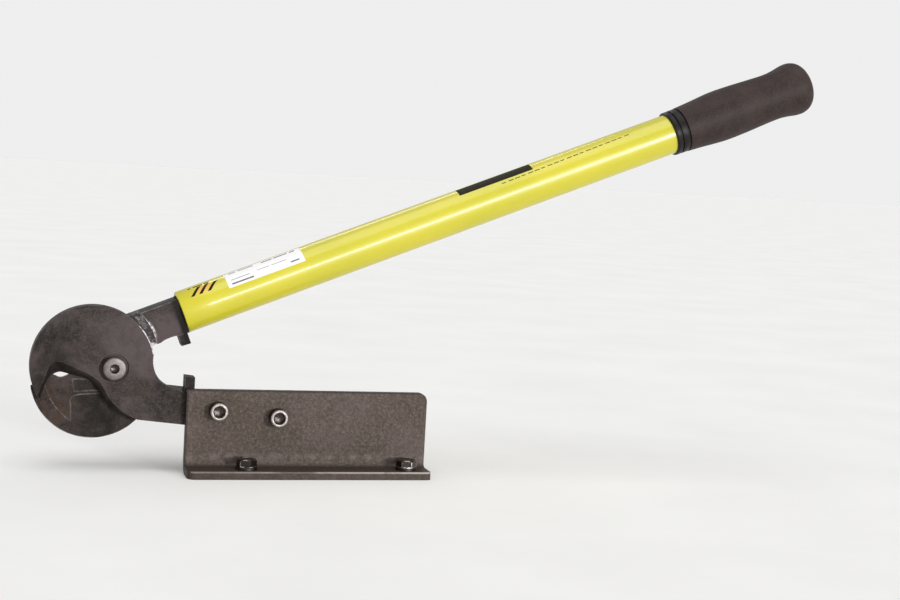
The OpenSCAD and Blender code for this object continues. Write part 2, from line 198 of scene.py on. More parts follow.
def flakes_and_painted_light(g, colour, ring):
    """Bright flakes of bare steel and painted highlights in a band of painted light along an arc.

    The ring holds the arc's centre and radius, the place that the band stays near and how
    near, and how far the band reaches inside and outside the arc.
    """
    centre, radius, (place, reach), inside, outside = ring
    flat = g.add("ShaderNodeVectorMath", operation="MULTIPLY")
    g.join(g.place, flat.inputs[0])
    flat.inputs[1].default_value = (1, 0, 1)
    measure = g.add("ShaderNodeVectorMath", operation="DISTANCE")
    g.join(flat.outputs["Vector"], measure.inputs[0])
    measure.inputs[1].default_value = (centre.x, 0, centre.z)
    off = measure.outputs["Value"]
    band = g.math("MULTIPLY", g.ramp(off, radius + outside, radius + 0.4 * outside),
                  g.ramp(off, radius - inside, radius - 0.8 * inside))
    near = g.ramp(g.distance(place), reach, reach * 0.55, 0, 1, True)
    band = g.math("MULTIPLY", band, near)
    # Painted light in the band, painted highlights in the flakes.
    colour = g.mix(g.math("MULTIPLY", band, 0.85), colour, FLAKE_BAND_PAINTED_LIGHT)
    flakes = g.ramp(g.noise(330, 4, 0.6, warp=0.6), 0.50, 0.56)
    return g.mix(g.math("MULTIPLY", band, flakes), colour, FLAKE_BARE_AND_HIGHLIGHT)


SCALE_BLACK = (0.0125, 0.0095, 0.0075)
SCALE_GREY = (0.066, 0.051, 0.048)
SCALE_BROWN = (0.034, 0.025, 0.018)
SCALE_GRAIN = (0.098, 0.081, 0.077)
RUST = (0.062, 0.036, 0.024)
TOP_PAINTED_SHADE = (0.014, 0.012, 0.011)
WORN_EDGE = (0.26, 0.235, 0.225)
END_PAINTED_SHADOW = (0.009, 0.007, 0.006)


def forged_steel(name, tints, flake_light_rings, rust_place=None, painted_shadow_end=None, edge_width=0.7 * MM):
    """Dark blued forging: mottled oxide, fine scale, worn edges, painted shade on faces that look up,
    and flakes with painted light along arcs.

    Tints are patches of painted shade and painted light: a place, how far it reaches, its share and its
    colour. Rust is one patch, given as a place and its reach, and the painted shadow at the end is a
    stretch along a direction.
    """
    g = Graph(name)
    patches = g.noise(30, 6, 0.66, warp=0.6)
    cloud = g.noise(75, 5, 0.6, warp=0.4)
    grain = g.noise(700, 3, 0.65)
    colour = g.mix(g.ramp(patches, 0.41, 0.61), SCALE_BLACK, SCALE_GREY)
    colour = g.mix(g.ramp(cloud, 0.5, 0.68, 0, 0.55), colour, SCALE_BROWN)
    colour = g.mix(g.ramp(grain, 0.46, 0.74, 0, 0.5), colour, SCALE_GRAIN)
    rough = g.ramp(patches, 0.3, 0.7, 0.46, 0.62)
    # Tints paint shade with dark colours and light with pale ones.
    for place, reach, share, tint in tints:
        near = g.ramp(g.distance(place), reach, reach * 0.35, 0, share, True)
        patch = g.math("MULTIPLY", near, g.ramp(g.noise(85, 6, 0.62, warp=0.4), 0.36, 0.60, 0.3, 1))
        colour = g.mix(patch, colour, tint)
    if rust_place:
        place, reach = rust_place
        near = g.ramp(g.distance(place), reach, reach * 0.3, 0, 1, True)
        rust = g.math("MULTIPLY", near, g.ramp(g.noise(190, 6, 0.7), 0.42, 0.62, 0, 0.85))
        colour = g.mix(rust, colour, RUST)
        rough = g.math("ADD", rough, g.math("MULTIPLY", rust, 0.2))
    # Painted shade: faces that look up are darkened.
    colour = g.mix(g.math("MULTIPLY", g.facing_up(), 0.75), colour, TOP_PAINTED_SHADE)
    edge = g.math("MULTIPLY", g.edges(edge_width),
                  g.ramp(g.noise(170, 5, 0.65), 0.40, 0.60, 0.08, 0.9))
    edge = g.math("MULTIPLY", edge, g.facing_up(0.85, 0.5))
    colour = g.mix(edge, colour, WORN_EDGE)
    for ring in flake_light_rings:
        colour = flakes_and_painted_light(g, colour, ring)
    # Painted shadow: the arm darkens towards where it goes into the tube.
    if painted_shadow_end:
        colour = g.mix(g.along(*painted_shadow_end), colour, END_PAINTED_SHADOW)
    g.drive("Base Color", colour)
    g.drive("Roughness", rough)
    g.set(Metallic=0.05, Specular_IOR_Level=0.10)
    pits = g.bump(g.cells(420), 0.06 * MM, 0.4)
    g.drive("Normal", g.bump(g.noise(560, 5, 0.65), 0.12 * MM, 0.8, pits))
    return g.material


COAT_DARK = (0.054, 0.040, 0.029)
COAT_LIGHT = (0.088, 0.063, 0.056)
COAT_CREST_PAINTED_LIGHT = (0.145, 0.110, 0.094)
COAT_HOLLOW_PAINTED_SHADE = (0.030, 0.021, 0.017)
COAT_BEND_PAINTED_LIGHT = (0.19, 0.150, 0.133)
COAT_SHADE = (0.024, 0.017, 0.013)
COAT_RIM_PAINTED_SHADE = (0.022, 0.017, 0.015)
COAT_EDGE_PAINTED_HIGHLIGHT = (0.42, 0.365, 0.34)
# Painted light: the rounded bend is painted as a paler band between these heights.
BEND_STARTS = (0.009, 0.0125)  # heights between which the paler band of the bend comes in
BEND_STOPS = (0.018, 0.0145)


def powder_coat():
    """Brown-grey wrinkle coat of the bracket, with painted light on wrinkle crests and painted shade in
    their hollows, a painted light band at the bend, a painted highlight along the foot's front edge, and
    painted shade on faces that look up, along the top and left rims and low on the foot's front.
    """
    g = Graph("bracket_powder_coat")
    wrinkle = g.noise(470, 3, 0.6, warp=0.8)
    tone = g.noise(16, 5, 0.6)
    colour = g.mix(g.ramp(tone, 0.36, 0.64), COAT_DARK, COAT_LIGHT)
    # Painted light on the wrinkle crests and painted shade in their hollows.
    colour = g.mix(g.ramp(wrinkle, 0.46, 0.68, 0, 0.6), colour, COAT_CREST_PAINTED_LIGHT)
    colour = g.mix(g.ramp(wrinkle, 0.42, 0.28, 0, 0.5), colour, COAT_HOLLOW_PAINTED_SHADE)
    # Painted light on the bend, broken up by noise.
    bend = g.math("MULTIPLY", g.along(UP, *BEND_STARTS), g.along(UP, *BEND_STOPS))
    bend = g.math("MULTIPLY", bend, g.ramp(g.noise(150, 4), 0.42, 0.60, 0.05, 0.5))
    colour = g.mix(bend, colour, COAT_BEND_PAINTED_LIGHT)
    colour = g.mix(g.math("MULTIPLY", g.facing_up(), 0.6), colour, COAT_SHADE)
    # Painted shade: dark bands along the bracket's top rim and its left end.
    rim = g.math("MAXIMUM", g.along(UP, bracket_high.z - 1.5 * MM, bracket_high.z - 0.8 * MM),
                 g.along((-1, 0, 0), -bracket_low.x - 2.0 * MM, -bracket_low.x - 1.0 * MM))
    colour = g.mix(g.math("MULTIPLY", rim, 0.75), colour, COAT_RIM_PAINTED_SHADE)
    # Painted highlight along the top of the foot's front edge; the rubbed mask breaks it up with noise
    # and fades it to the left.
    foot_edge_highlight = g.math("MULTIPLY", g.along(UP, 4.9 * MM, 5.6 * MM),
                      g.along((0, -1, 0), -bracket_low.y - 1.6 * MM, -bracket_low.y - 0.9 * MM))
    colour = g.mix(g.along(UP, 7 * MM, 4 * MM), colour, g.mix(0.45, colour, COAT_SHADE))
    rubbed = g.math("MULTIPLY", g.ramp(g.noise(40, 3), 0.42, 0.56, 0.35, 1),
                    g.ramp(g.along((1, 0, 0), -60 * MM, 100 * MM), 0, 1, 0.35, 1))
    colour = g.mix(g.math("MULTIPLY", foot_edge_highlight, rubbed), colour, COAT_EDGE_PAINTED_HIGHLIGHT)
    g.drive("Base Color", colour)
    g.drive("Roughness", g.ramp(wrinkle, 0.3, 0.7, 0.60, 0.42))
    g.set(Specular_IOR_Level=0.15)
    g.drive("Normal", g.bump(wrinkle, 0.35 * MM, 0.7))
    return g.material


def turned_steel(name, colour, dark, rough, grime=0.5, worn=None, worn_and_glint_width=0.3 * MM):
    """Metal hardware with fine scratches, a darker film in patches and worn edges; where an edge colour
    is given, the edges carry painted glints.
    """
    g = Graph(name)
    scratches = g.noise(1600, 3, 0.6, g.stretched((1, 0.15, 1)))
    film = g.noise(300, 4, 0.6)
    base = g.mix(g.ramp(film, 0.42, 0.66, 0, grime), colour, dark)
    if worn is None:
        worn = tuple(min(0.8, 1.8 * c + 0.05) for c in colour)
        share = 0.55
    else:
        # Given an edge colour: painted glints, broken up by noise.
        share = g.ramp(g.noise(150, 3), 0.42, 0.52)
    base = g.mix(g.math("MULTIPLY", g.edges(worn_and_glint_width), share), base, worn)
    g.drive("Base Color", base)
    g.drive("Roughness", g.ramp(scratches, 0.3, 0.7, rough - 0.08, rough + 0.14))
    g.set(Metallic=0.95)
    g.drive("Normal", g.bump(scratches, 0.02 * MM, 0.5))
    return g.material


YELLOW_GREENER = (0.525, 0.485, 0.018)
YELLOW_WARMER = (0.585, 0.515, 0.022)
YELLOW_STREAK = (0.46, 0.45, 0.03)
SCUFF = (0.30, 0.27, 0.05)


def tube_paint():
    """Glossy greenish-yellow enamel with faint streaks along the tube and a few scuffs."""
    g = Graph("tube_paint")
    level = g.stretched((1, 1, 1), (0, HANDLE_SLOPE, 0))
    streaks = g.noise(500, 4, 0.6, g.stretched((0.06, 1, 1), place=level))
    tone = g.noise(14, 3, 0.5)
    colour = g.mix(g.ramp(tone, 0.35, 0.65), YELLOW_GREENER, YELLOW_WARMER)
    colour = g.mix(g.ramp(streaks, 0.54, 0.78, 0, 0.3), colour, YELLOW_STREAK)
    specks = g.ramp(g.cells(260), 0.10, 0.04)
    scuffs = g.math("MULTIPLY", specks, g.ramp(g.noise(70, 3), 0.58, 0.66, 0, 0.45))
    colour = g.mix(scuffs, colour, SCUFF)
    g.drive("Base Color", colour)
    g.drive("Roughness", g.ramp(streaks, 0.3, 0.75, 0.30, 0.42))
    g.set(Coat_Weight=0.4, Coat_Roughness=0.12)
    g.drive("Normal", g.bump(g.noise(240, 3), 0.04 * MM, 0.35))
    return g.material


RUBBER_GRAIN_LIFT = 1.7


def rubber(name, low, high, rough):
    """Moulded rubber with a fine spark-eroded grain."""
    g = Graph(name)
    grain = g.noise(560, 5, 0.7)
    tone = g.noise(55, 5, 0.6)
    colour = g.mix(g.ramp(tone, 0.35, 0.65), low, high)
    colour = g.mix(g.ramp(grain, 0.48, 0.70, 0, 0.6), colour, tuple(RUBBER_GRAIN_LIFT * c for c in high))
    g.drive("Base Color", colour)
    g.drive("Roughness", g.ramp(grain, 0.3, 0.7, rough - 0.07, rough + 0.07))
    g.set(Specular_IOR_Level=0.16)
    g.drive("Normal", g.bump(grain, 0.2 * MM, 0.7))
    return g.material


def print_film(name, colour, worn, rough=0.4, shine=0.5):
    """Printed or stuck-on film on the tube: slightly rubbed, with a faint orange peel."""
    g = Graph(name)
    rub = g.noise(330, 5, 0.7)
    g.drive("Base Color", g.mix(g.ramp(rub, 0.5, 0.72, 0, 0.6), colour, worn))
    g.drive("Roughness", g.ramp(rub, 0.3, 0.7, rough - 0.06, rough + 0.1))
    g.set(Specular_IOR_Level=shine)
    g.drive("Normal", g.bump(g.noise(500, 3), 0.03 * MM, 0.4))
    return g.material


PAPER_LOW = (0.86, 0.857, 0.85)
PAPER_HIGH = (0.90, 0.897, 0.89)


def floor_paper():
    """Matt pale paper for the floor, with a faint cloud in its tone."""
    g = Graph("floor_paper")
    g.drive("Base Color", g.mix(g.ramp(g.noise(6, 4), 0.3, 0.7), PAPER_LOW, PAPER_HIGH))
    g.set(Roughness=0.9, Specular_IOR_Level=0.05)
    g.drive("Normal", g.bump(g.noise(900, 3), 0.05 * MM, 0.3))
    return g.material


FRONT_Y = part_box("fixed_jaw_lever")[0].y
HEAD_FRONT = Vector((PIVOT.x, FRONT_Y, PIVOT.z))

# Places on the forgings of patches of painted shade and painted light, of rust, and of bare flakes with
# painted light
# Painted shade and painted light: dark patches stand in for shade on the forgings, pale patches for
# light on them
PAINTED_SHADE_DARK = (0.008, 0.0062, 0.005)
PAINTED_LIGHT_PALE = (0.085, 0.067, 0.068)
FIXED_TINTS = ((HEAD_FRONT + Vector((0.016, 0, 0.020)), 0.036, 0.75, PAINTED_LIGHT_PALE),
               (HEAD_FRONT + Vector((-0.064, 0, 0)), 0.054, 0.6, PAINTED_SHADE_DARK),
               (HEAD_FRONT + Vector((-0.046, 0.010, -0.010)), 0.032, 0.75, PAINTED_SHADE_DARK),
               (HEAD_FRONT + Vector((-0.015, 0.010, -0.030)), 0.026, 0.6, PAINTED_SHADE_DARK),
               (HEAD_FRONT + Vector((0.056, 0.006, 0)), 0.020, 1.0, PAINTED_SHADE_DARK))
MOVING_TINTS = ((HEAD_FRONT + 0.052 * ALONG + 0.010 * ACROSS, 0.030, 0.6, PAINTED_LIGHT_PALE),
                (HEAD_FRONT + Vector((0.006, 0.014, -0.040)), 0.052, 0.95, PAINTED_SHADE_DARK),
                (HEAD_FRONT + 0.060 * ALONG - 0.002 * ACROSS + Vector((0, 0.006, 0)), 0.015, 1.3, PAINTED_SHADE_DARK))
RUST_PLACE = (HEAD_FRONT + Vector((-0.052, 0.014, -0.034)), 0.036)
STEP_CENTRE = PIVOT - 0.0105 * ALONG + 0.0125 * ACROSS
LAP_PLACE = HEAD_FRONT + 0.0385 * ALONG + 0.018 * ACROSS
LAP_FLOOR = HEAD_FRONT + 0.0345 * ALONG + 0.010 * ACROSS + Vector((0, 0.010, 0))
# Painted light on the lap floor in the moving jaw's recess, and painted highlights along the lit edge of
# the step beside it
FLAKE_LIGHT_RINGS = ((STEP_CENTRE, 0.0484, (LAP_FLOOR, 0.028), 0.0060, 0.0004),
               (STEP_CENTRE, 0.0484, (LAP_PLACE, 0.0085), 0.0005, 0.0022))
FIXED_DISC = PIVOT + Vector((-0.01625, 0, 0.0008))
# Painted highlight along the lit edge of the fixed disc
RIM_PAINTED_HIGHLIGHT = ((FIXED_DISC, 0.0477, (LAP_FLOOR, 0.022), 0.0009, 0.0010),)

MATERIALS = {
    "forged_steel": forged_steel("forged_steel_dark", FIXED_TINTS, RIM_PAINTED_HIGHLIGHT),
    "bracket_coat": powder_coat(),
    "bright_steel": turned_steel("pivot_bolt_steel", (0.145, 0.125, 0.122), (0.075, 0.064, 0.062), 0.42),
    "plated_steel": turned_steel("zinc_plated_steel", (0.52, 0.51, 0.49), (0.27, 0.26, 0.25), 0.38),
    "black_steel": turned_steel("black_oxide_steel", (0.045, 0.04, 0.038), (0.02, 0.018, 0.017), 0.36),
    "bronze": turned_steel("bearing_bronze", (0.55, 0.36, 0.15), (0.2, 0.13, 0.06), 0.4),
    "tube_paint": tube_paint(),
    "collar_rubber": rubber("collar_rubber", (0.008, 0.007, 0.007), (0.014, 0.012, 0.011), 0.40),
    "grip_rubber": rubber("grip_rubber", (0.024, 0.0155, 0.0138), (0.040, 0.0265, 0.0235), 0.56),
}

# Where the arm goes into the tube, as a distance along the handle from the frame's origin
ARM_END = HANDLE_AXIS_START.dot(ALONG) + min((Vector(v.co) - HANDLE_AXIS_START).dot(ALONG)
                                            for v in frame["nodes"]["handle_tube"].data.vertices)
# The moving jaw, with a painted shadow where its arm goes into the tube.
MOVING_STEEL = forged_steel("forged_steel_moving_jaw", MOVING_TINTS, FLAKE_LIGHT_RINGS,
                            rust_place=RUST_PLACE, edge_width=2.0 * MM,
                            painted_shadow_end=(ALONG, ARM_END - 7 * MM, ARM_END - 4.5 * MM))
# Painted glints: pale, broken-up highlights on the edges of the bench bolts' heads.
BENCH_BOLT_STEEL = turned_steel("bench_bolt_steel", (0.045, 0.035, 0.031), (0.02, 0.015, 0.013),
                                rough=0.3, worn=(0.90, 0.86, 0.83), worn_and_glint_width=1.2 * MM)
SCREW_RIM = turned_steel("socket_screw_rim", (0.28, 0.245, 0.23), (0.18, 0.155, 0.145),
                         rough=0.42, grime=0.35)
SOCKET_SHADE = turned_steel("socket_recess_steel", (0.055, 0.047, 0.043), (0.02, 0.017, 0.015),
                            rough=0.26, grime=0.6)
LABEL_WHITE = print_film("label_white", (0.80, 0.79, 0.79), (0.68, 0.67, 0.64))
LABEL_DARK = print_film("label_dark_bars", (0.12, 0.11, 0.115), (0.3, 0.29, 0.29))
LABEL_GREY = print_film("label_grey_bars", (0.36, 0.35, 0.36), (0.55, 0.54, 0.53))
PRINT_BLACK = print_film("print_black", (0.011, 0.008, 0.004), (0.05, 0.042, 0.008),
                         rough=0.6, shine=0.15)
PRINT_LINE = print_film("print_line", (0.08, 0.068, 0.008), (0.22, 0.19, 0.012),
                        rough=0.6, shine=0.2)
PRINT_ORANGE = print_film("print_orange", (0.72, 0.40, 0.035), (0.68, 0.52, 0.04))


# ---- mesh helpers ----

def add_piece(name, mesh, material, body, slot, smooth_angle=35):
    """An object from a mesh that rides on a body. The slot argument is not used."""
    piece = bpy.data.objects.new(name, mesh)
    bpy.context.scene.collection.objects.link(piece)
    mesh.materials.clear()
    mesh.materials.append(material)
    for polygon in mesh.polygons:
        polygon.use_smooth = True
    mesh.set_sharp_from_angle(angle=math.radians(smooth_angle))
    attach(piece, body)
    return piece


MERGE_DISTANCE = 0.002 * MM
SHORTEST_EDGE = 0.004 * MM
FLAT_WITHIN = 0.6  # degrees: faces that turn less than this are joined into one
ROUNDED_FROM = 32  # degrees: edges that turn more than this are rounded


def finished(node, width, segments=2, material=None):
    """A copy of a CAD node with its edges rounded, shown in the node's place."""
    mesh = frame["nodes"][node].data.copy()
    mesh.name = node + "_finished"
    if mesh.attributes.get("custom_normal"):
        mesh.attributes.remove(mesh.attributes["custom_normal"])
    shell = bmesh.new()
    shell.from_mesh(mesh)
    bmesh.ops.remove_doubles(shell, verts=shell.verts, dist=MERGE_DISTANCE)
    bmesh.ops.dissolve_degenerate(shell, edges=shell.edges, dist=SHORTEST_EDGE)
    bmesh.ops.dissolve_limit(shell, angle_limit=math.radians(FLAT_WITHIN),
                             verts=shell.verts, edges=shell.edges)
    shell.to_mesh(mesh)
    shell.free()
    slot = SLOT_OF[node]
    piece = add_piece(node + "_finished", mesh, material or MATERIALS[slot], BODY_OF[node], slot)
    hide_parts(node)
    bevel = piece.modifiers.new("rounded_edges", "BEVEL")
    bevel.width = width
    bevel.segments = segments
    bevel.limit_method = "ANGLE"
    bevel.angle_limit = math.radians(ROUNDED_FROM)
    bevel.harden_normals = True
    return piece


def skin(name, rings, closed_ends=True):
    """Mesh through rings of the same number of points; a one-point ring closes an end."""
    shell = bmesh.new()
    rows = [[shell.verts.new(p) for p in ring] for ring in rings]
    for low, high in zip(rows, rows[1:]):
        count = max(len(low), len(high))
        for i in range(count):
            j = (i + 1) % count
            if len(low) == 1:
                shell.faces.new((low[0], high[j], high[i]))
            elif len(high) == 1:
                shell.faces.new((low[i], low[j], high[0]))
            else:
                shell.faces.new((low[i], low[j], high[j], high[i]))
    if closed_ends:
        for row, flip in ((rows[0], True), (rows[-1], False)):
            if len(row) > 2:
                shell.faces.new(row[::-1] if flip else row)
    bmesh.ops.recalc_face_normals(shell, faces=shell.faces)
    mesh = bpy.data.meshes.new(name)
    shell.to_mesh(mesh)
    shell.free()
    return mesh


def around(origin, axis, side, count):
    """A function that makes rings of points square to an axis.

    It takes a radius, or a function that gives the radius at an angle, and a distance along.
    """
    axis = axis.normalized()
    side = (side - side.dot(axis) * axis).normalized()
    other = axis.cross(side)

    def ring(radius, along):
        if radius == 0:
            return [origin + along * axis]
        out = []
        for i in range(count):
            a = 2 * math.pi * i / count
            r = radius(a) if callable(radius) else radius
            out.append(origin + along * axis + r * (math.cos(a) * side + math.sin(a) * other))
        return out

    return ring


def hexagon(across_flats, limit=math.inf):
    """Radius of a hexagon by angle, cut off outside a circle of the radius limit."""
    def radius(a):
        off = (a + math.pi / 6) % (math.pi / 3) - math.pi / 6
        return min(across_flats / 2 / math.cos(off), limit)
    return radius


def knurl(radius, depth, teeth):
    """Radius of a knurled side by angle, no wider than the radius."""
    def at(a):
        return radius - depth * (0.5 + 0.5 * math.cos(teeth * a))
    return at


THREAD_SIDES = 24
RINGS_PER_PITCH = 5


def thread_mesh(name, origin, axis, radius, start, end, pitch, depth):
    """Helical thread between two distances along an axis, no wider than the radius."""
    ring = around(origin, axis, Vector((0.3, 0.4, 0.86)), THREAD_SIDES)
    steps = max(6, round((end - start) / pitch * RINGS_PER_PITCH))

    def crest(along):
        def at(a):
            turn = (along / pitch - a / (2 * math.pi)) % 1
            run_out = min(1, (end - along) / pitch, (along - start) / pitch)
            return radius - depth * (1 - run_out + run_out * abs(2 * turn - 1))
        return at

    rings = [[origin + start * axis.normalized()]]
    for k in range(steps + 1):
        along = start + (end - start) * k / steps
        rings.append(ring(crest(along), along))
    rings.append([origin + end * axis.normalized()])
    return skin(name, rings)


# ---- hardware ----

# 3/8 inch hardware: 16 threads an inch; the pivot screw's thread is drawn the same
THREAD_PITCH = 1.5875 * MM
THREAD_DEPTH = 0.75 * MM
SHANK_RADIUS = 4.76 * MM

HEAD_SIDES = 192
HEAD_SIDE = Vector((1, 0, 0.35))  # where the first point of each ring of a head lies
KNURL_DEPTH = 0.28 * MM
KNURLED_MOUTH = 1.0 * MM  # how far the bevel round a socket reaches past half its width
PLAIN_MOUTH = 0.55 * MM
HEAD_CHAMFER = 0.9 * MM

LEVER_HEAD_HEIGHT = 9.5 * MM
LEVER_SOCKET = 7.94 * MM
LEVER_SOCKET_DEPTH = 5.2 * MM
LEVER_TEETH = 48
LEVER_THREAD_BEFORE_NUT = 12 * MM

PIVOT_HEAD_HEIGHT = 8 * MM
PIVOT_SOCKET = 6.35 * MM
PIVOT_SOCKET_DEPTH = 4.5 * MM
PIVOT_SHOULDER_RADIUS = 6.35 * MM
PIVOT_THREAD_BEFORE_NUT = 1.7 * MM

BENCH_HEAD_SIDES = 96
BENCH_FLATS = 14.29 * MM
BENCH_TURNS = {1: 12, 2: 20}  # degrees that each bolt's head stands turned
BENCH_THREAD_FROM = 2 * MM  # below the bench top


def middle(node):
    """Middle of a CAD node's box."""
    low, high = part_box(node)
    return (low + high) / 2


def paint_faces(piece, centre, material, inner, outer, depth):
    """A second material on the faces whose middles lie between two radii and in front of a depth."""
    piece.data.materials.append(material)
    index = len(piece.data.materials) - 1
    for polygon in piece.data.polygons:
        off = polygon.center - centre
        radius = math.hypot(off.x, off.z)
        if inner <= radius < outer and off.y < depth:
            polygon.material_index = index


def socket_screw(node, head_height, socket, socket_depth, shank, material, rim, teeth=0):
    """Round-headed screw with a hexagon socket, a rounded rim and, given teeth, a knurled side.

    The shank is its radius and where it ends. Returns the middle of the head's front.
    """
    low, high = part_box(node)
    centre = Vector((middle(node).x, low.y, middle(node).z))
    head_radius = (high.x - low.x) / 2
    shank_radius, shank_end = shank
    ring = around(centre, TO_BACK, HEAD_SIDE, HEAD_SIDES)
    hexagonal = hexagon(socket)
    mouth = socket * 0.5 + (KNURLED_MOUTH if teeth else PLAIN_MOUTH)
    chamfer = HEAD_CHAMFER
    rings = [ring(0, socket_depth + 0.8 * MM),
             ring(hexagon(socket * 0.9), socket_depth),
             ring(hexagonal, socket_depth - 0.15 * MM),
             ring(hexagonal, 0.6 * MM),
             ring(mouth, 0.02 * MM),
             ring(head_radius - chamfer - 0.2 * MM, 0),
             ring(head_radius - chamfer, 0.05 * MM),
             ring(head_radius - 0.3 * chamfer, 0.45 * chamfer),
             ring(head_radius - 0.06 * MM, chamfer),
             ring(head_radius, 1.2 * chamfer)]
    if teeth:
        side = knurl(head_radius, KNURL_DEPTH, teeth)
        rings += [ring(side, 1.2 * chamfer + 0.3 * MM), ring(side, head_height - 0.9 * MM),
                  ring(head_radius, head_height - 0.7 * MM)]
    rings += [ring(head_radius, head_height - 0.15 * MM), ring(head_radius - 0.15 * MM, head_height),
              ring(shank_radius, head_height), ring(shank_radius, shank_end), ring(0, shank_end)]
    name = node + "_head"
    piece = add_piece(name, skin(name, rings), material, BODY_OF[node], SLOT_OF[node])
    paint_faces(piece, centre, rim, mouth - 0.05 * MM, head_radius - 0.02 * MM, chamfer)
    paint_faces(piece, centre, SOCKET_SHADE, 0, mouth, 2 * socket_depth)
    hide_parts(node)
    return centre


def threaded_end(node, name, centre, axis, start, end, material):
    """The threaded stretch of a screw, as a piece of its own."""
    mesh = thread_mesh(name, centre, axis, SHANK_RADIUS, start, end, THREAD_PITCH, THREAD_DEPTH)
    return add_piece(name, mesh, material, BODY_OF[node], SLOT_OF[node], 50)


for i in (1, 2):
    node = f"lever_screw_{i}"
    low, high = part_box(node)
    thread_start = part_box(f"lever_nut_{i}")[0].y - low.y - LEVER_THREAD_BEFORE_NUT
    centre = socket_screw(node, LEVER_HEAD_HEIGHT, LEVER_SOCKET, LEVER_SOCKET_DEPTH,
                          (SHANK_RADIUS, thread_start), MATERIALS["black_steel"], SCREW_RIM,
                          teeth=LEVER_TEETH)
    threaded_end(node, node + "_thread", centre, TO_BACK, thread_start, high.y - low.y,
                 MATERIALS["black_steel"])
    finished(f"lever_nut_{i}", 0.25 * MM)
    finished(f"lever_lock_washer_{i}", 0.2 * MM)
    finished(f"lever_washer_{i}", 0.25 * MM)

low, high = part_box("pivot_bolt")
thread_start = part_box("pivot_locknut")[0].y - low.y - PIVOT_THREAD_BEFORE_NUT
centre = socket_screw("pivot_bolt", PIVOT_HEAD_HEIGHT, PIVOT_SOCKET, PIVOT_SOCKET_DEPTH,
                      (PIVOT_SHOULDER_RADIUS, thread_start), MATERIALS["bright_steel"],
                      MATERIALS["bright_steel"])
threaded_end("pivot_bolt", "pivot_bolt_thread", centre, TO_BACK, thread_start, high.y - low.y,
             MATERIALS["bright_steel"])
finished("pivot_locknut", 0.25 * MM)
finished("pivot_washer", 0.25 * MM)
finished("pivot_bushing", 0.2 * MM)


def bench_bolt(i):
    """Hexagon-headed bolt with a washer face under the head and a chamfered top."""
    node = f"bench_bolt_{i}"
    washer = f"bench_washer_{i}"
    low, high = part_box(node)
    centre = Vector((middle(washer).x, middle(washer).y, 0))
    up = Vector(UP)
    turn = math.radians(BENCH_TURNS[i])
    ring = around(centre, up, Vector((math.cos(turn), math.sin(turn), 0)), BENCH_HEAD_SIDES)
    flats = BENCH_FLATS
    corner = flats / 2 / math.cos(math.pi / 6)
    bottom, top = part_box(washer)[1].z, high.z
    rings = [ring(0, top - 0.2 * MM), ring(flats * 0.38, top - 0.2 * MM), ring(flats * 0.40, top),
             ring(flats * 0.47, top), ring(hexagon(flats, flats * 0.515), top - 0.45 * MM),
             ring(hexagon(flats, flats * 0.55), top - 0.95 * MM),
             ring(hexagon(flats, corner), top - 1.6 * MM),
             ring(hexagon(flats, corner), bottom + 0.5 * MM),
             ring(flats * 0.485, bottom + 0.4 * MM), ring(flats * 0.485, bottom),
             ring(SHANK_RADIUS, bottom), ring(SHANK_RADIUS, -BENCH_THREAD_FROM),
             ring(0, -BENCH_THREAD_FROM)]
    mesh = skin(node + "_head", rings)
    piece = add_piece(node + "_head", mesh, BENCH_BOLT_STEEL, BODY_OF[node], SLOT_OF[node], 28)
    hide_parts(node)
    threaded_end(node, node + "_thread", centre, -up, BENCH_THREAD_FROM, -low.z,
                 MATERIALS["black_steel"])
    finished(washer, 0.2 * MM)


for i in (1, 2):
    bench_bolt(i)
    finished(f"tang_pin_{i}", 0.3 * MM)


# ---- bracket and jaws ----

finished("mounting_bracket", 0.7 * MM, 3)
finished("fixed_jaw_lever", 0.45 * MM)
finished("moving_jaw_lever", 0.45 * MM, material=MOVING_STEEL)


# ---- handle ----

HANDLE_SIDES = 128
TUBE_WALL = 2.7 * MM
TUBE_STATIONS = 24
RADIUS_REACH = 4 * MM
handle_ring = around(HANDLE_AXIS_START, ALONG, -TO_BACK, HANDLE_SIDES)


def along_handle(point):
    """How far up the handle a point is, from where its axis passes the pivot."""
    return (point - HANDLE_AXIS_START).dot(ALONG)


def span(node):
    """Where a node begins and ends along the handle."""
    places = [along_handle(v.co) for v in frame["nodes"][node].data.vertices]
    return min(places), max(places)


tube_start, tube_end = span("handle_tube")
collar_start, collar_end = span("grip_collar")


def radius_at(node, place):
    """Largest radius of a CAD node near a distance along the handle."""
    best = 0
    for v in frame["nodes"][node].data.vertices:
        u = along_handle(v.co)
        if abs(u - place) < RADIUS_REACH:
            best = max(best, (v.co - HANDLE_AXIS_START - u * ALONG).length)
    return best


def make_tube():
    """Tube with a rounded, slightly rolled front end; the far end is under the grip."""
    inner = TUBE_RADIUS - TUBE_WALL
    rings = [handle_ring(inner, tube_end), handle_ring(inner, tube_start + 0.6 * MM),
             handle_ring(inner + 0.5 * MM, tube_start), handle_ring(TUBE_RADIUS - 0.9 * MM, tube_start),
             handle_ring(TUBE_RADIUS - 0.3 * MM, tube_start + 0.25 * MM),
             handle_ring(TUBE_RADIUS, tube_start + 0.9 * MM)]
    for k in range(1, TUBE_STATIONS + 1):
        place = tube_start + (tube_end - tube_start) * k / TUBE_STATIONS
        rings.append(handle_ring(TUBE_RADIUS, place))
    mesh = skin("handle_tube_painted", rings + [rings[0]], closed_ends=False)
    shell = bmesh.new()
    shell.from_mesh(mesh)
    bmesh.ops.remove_doubles(shell, verts=shell.verts, dist=0.001 * MM)
    shell.to_mesh(mesh)
    shell.free()
    piece = add_piece("handle_tube_painted", mesh, MATERIALS["tube_paint"], "handle",
                      "tube_paint")
    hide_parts("handle_tube")


